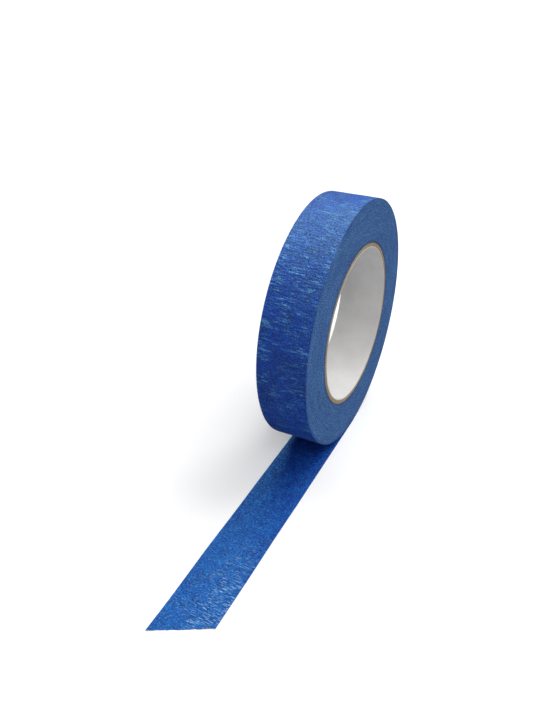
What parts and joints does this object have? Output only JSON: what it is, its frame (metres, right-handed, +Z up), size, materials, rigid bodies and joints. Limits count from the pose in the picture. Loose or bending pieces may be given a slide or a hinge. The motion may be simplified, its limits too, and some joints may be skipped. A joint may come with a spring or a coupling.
{
  "type": "masking tape roll",
  "caption": "Roll of blue crepe paper masking tape on a paperboard core, standing on its rim, with its torn end drawn out flat along the floor.",
  "frame": {"origin": "centre of the core's bore, in the middle of the tape's width", "axes": "+Y along the roll's axis, +Z up, and the drawn-off tape lies on the floor along -X"},
  "size_m": [0.2172, 0.024, 0.1228],
  "materials": {
    "crepe_paper": "matte",
    "tape_edges": "matte",
    "adhesive": "satin",
    "kraft_board": "matte",
    "liner_paper": "matte"
  },
  "bodies": {
    "tail": {"tail_backing": "crepe_paper", "tail_adhesive": "adhesive"},
    "nip": {"nip_backing": "crepe_paper", "nip_adhesive": "adhesive"},
    "roll": {"core_liner": "liner_paper", "core_board_ply_1": "kraft_board", "core_board_ply_2": "kraft_board", "core_board_ply_3": "kraft_board", "core_board_ply_4": "kraft_board", "core_outer_wrap": "kraft_board", "wound_tape": "tape_edges", "outer_turn": "crepe_paper"},
    "free_end": {"free_end_backing": "crepe_paper", "free_end_adhesive": "adhesive"}
  },
  "joints": [
    {"name": "pay_out", "type": "slide", "parent": "tail", "child": "nip", "axis": [1, 0, 0], "range_m": [0, 0.1]},
    {"name": "roll_spin", "type": "hinge", "parent": "nip", "child": "roll", "pos_m": [0, 0, 0], "axis": [0, 1, 0], "range_deg": [0, 94]},
    {"name": "free_end_lift", "type": "hinge", "parent": "tail", "child": "free_end", "pos_m": [-0.108, 0, -0.06136], "axis": [0, 1, 0], "range_deg": [0, 75]}
  ],
  "couplings": [
    {"joint": "roll_spin", "follows": "pay_out", "rad_per_m": 16.26}
  ]
}
